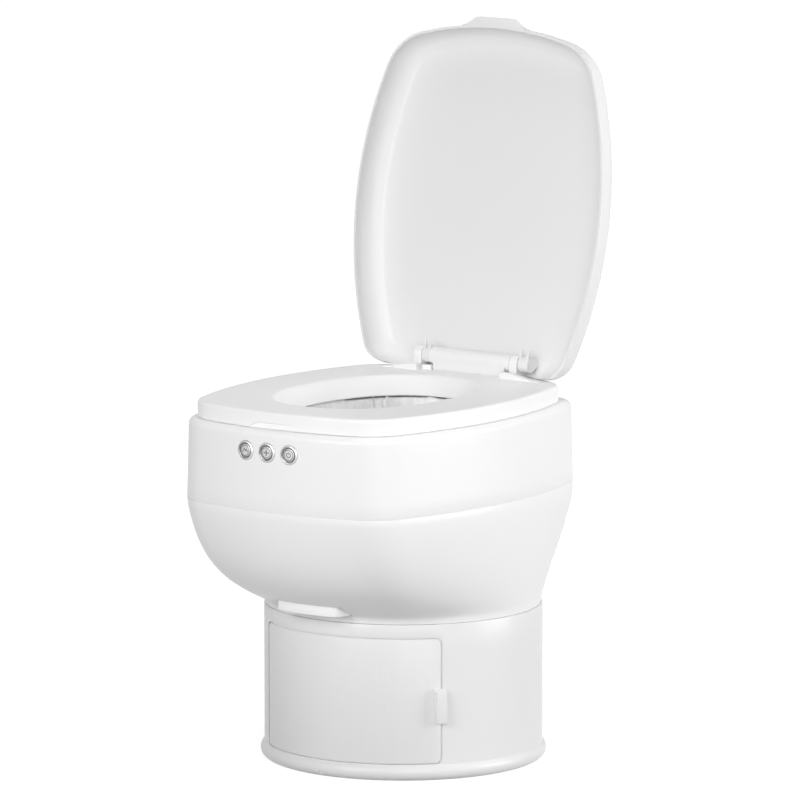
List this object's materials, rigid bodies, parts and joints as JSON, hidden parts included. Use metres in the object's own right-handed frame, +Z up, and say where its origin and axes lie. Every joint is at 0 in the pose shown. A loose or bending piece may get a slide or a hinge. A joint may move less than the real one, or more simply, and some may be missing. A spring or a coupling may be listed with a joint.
{
  "type": "waterless toilet",
  "caption": "Free-standing waterless toilet: film-lined bowl with seat, lid and push buttons, swivelling on a round pedestal with a door and a collection bin.",
  "frame": {"origin": "pedestal's axis at floor level, the centre of the floor bolts", "axes": "+Z up, the front faces -Y, +X is on the right seen from the front"},
  "size_m": [0.389, 0.5073, 0.9101],
  "materials": {
    "body_white": "glossy white moulded plastic",
    "pedestal_white": "glossy white moulded plastic",
    "seat_white": "glossy white moulded plastic",
    "tab_clear": "milky translucent plastic",
    "funnel_white": "smooth white plastic",
    "bearing_grey": "satin acetal",
    "dark_plastic": "fine grained black plastic",
    "bin_grey": "matt grey plastic",
    "rubber": "soft rubber",
    "film": "thin crumpled translucent film",
    "steel": "zinc plated steel",
    "button_metal": "satin nickel with polished bevels",
    "silicone": "silicone",
    "board_green": "circuit board lacquer",
    "motor_metal": "satin painted steel can"
  },
  "bodies": {
    "base": {"base_plate": "bearing_grey", "floor_gasket": "rubber", "pedestal_shell": "pedestal_white", "base_screws": "steel", "bin_rails": "bearing_grey", "slide_ring": "bearing_grey", "latch_magnet": "dark_plastic", "door_pins": "steel"},
    "door": {"door_panel": "pedestal_white", "door_pull": "pedestal_white", "strike_plate": "steel", "pull_screws": "steel"},
    "bin": {"collection_bin": "bin_grey", "bin_grip": "bin_grey"},
    "bowl": {"swivel_ring": "bearing_grey", "swivel_claws": "bearing_grey", "ring_screws": "steel", "lower_housing": "body_white", "upper_housing": "body_white", "top_deck": "body_white", "film_cassette": "bearing_grey", "cassette_cover": "body_white", "film_pack": "film", "film_liner": "film", "bowl_funnel": "funnel_white", "sealing_frame": "steel", "frame_screws": "steel", "guide_rods": "steel", "fixed_jaw": "dark_plastic", "heating_strip": "steel", "sealing_motor": "motor_metal", "button_rings": "button_metal", "button_nuts": "steel", "switch_blocks": "dark_plastic", "control_board": "board_green", "board_cover": "dark_plastic", "power_inlet": "dark_plastic", "hinge_saddle": "body_white", "saddle_screws": "steel", "hinge_pin": "steel", "lid_damper": "dark_plastic", "seat_damper": "dark_plastic"},
    "jaw": {"moving_jaw": "dark_plastic", "silicone_pad": "silicone"},
    "screw": {"lead_screw": "steel", "shaft_coupling": "bearing_grey"},
    "left_cap": {"button_left": "button_metal"},
    "middle_cap": {"button_middle": "button_metal"},
    "right_cap": {"button_right": "button_metal"},
    "seat": {"seat": "seat_white", "seat_bumpers": "rubber"},
    "lid": {"lid": "seat_white"},
    "tab": {"release_tab": "tab_clear"}
  },
  "joints": [
    {"name": "bowl_swivel", "type": "hinge", "parent": "base", "child": "bowl", "pos_m": [0, 0, 0.1968], "axis": [0, 0, 1], "range_deg": [-90, 90]},
    {"name": "door_hinge", "type": "hinge", "parent": "base", "child": "door", "pos_m": [-0.1014, -0.13831, 0.103], "axis": [0, 0, -1], "range_deg": [0, 90]},
    {"name": "bin_slide", "type": "slide", "parent": "base", "child": "bin", "axis": [0.1219, -0.9925, 0], "range_m": [0, 0.118]},
    {"name": "lid_hinge", "type": "hinge", "parent": "bowl", "child": "lid", "pos_m": [0, 0.1418, 0.483], "axis": [-1, 0, 0], "range_deg": [-99, 0]},
    {"name": "seat_hinge", "type": "hinge", "parent": "bowl", "child": "seat", "pos_m": [0, 0.1418, 0.483], "axis": [-1, 0, 0], "range_deg": [0, 96]},
    {"name": "press_left", "type": "slide", "parent": "bowl", "child": "left_cap", "axis": [0.0743, 0.9972, 0], "range_m": [0, 0.002], "stiffness_N_per_m": 600, "springref_m": -0.003},
    {"name": "press_middle", "type": "slide", "parent": "bowl", "child": "middle_cap", "axis": [0, 1, 0], "range_m": [0, 0.002], "stiffness_N_per_m": 600, "springref_m": -0.003},
    {"name": "press_right", "type": "slide", "parent": "bowl", "child": "right_cap", "axis": [-0.0743, 0.9972, 0], "range_m": [0, 0.002], "stiffness_N_per_m": 600, "springref_m": -0.003},
    {"name": "tab_pull", "type": "slide", "parent": "bowl", "child": "tab", "axis": [0, -1, 0], "range_m": [0, 0.008], "stiffness_N_per_m": 400, "springref_m": -0.004},
    {"name": "jaw_slide", "type": "slide", "parent": "bowl", "child": "jaw", "axis": [0, 1, 0], "range_m": [0, 0.136]},
    {"name": "screw_spin", "type": "hinge", "parent": "bowl", "child": "screw", "pos_m": [0.108, 0, 0.25], "axis": [0, 1, 0], "range_deg": [-2500, 0]}
  ],
  "couplings": [
    {"joint": "bin_slide", "follows": "door_hinge", "m_per_rad": 0.07},
    {"joint": "screw_spin", "follows": "jaw_slide", "rad_per_m": -314.16}
  ]
}
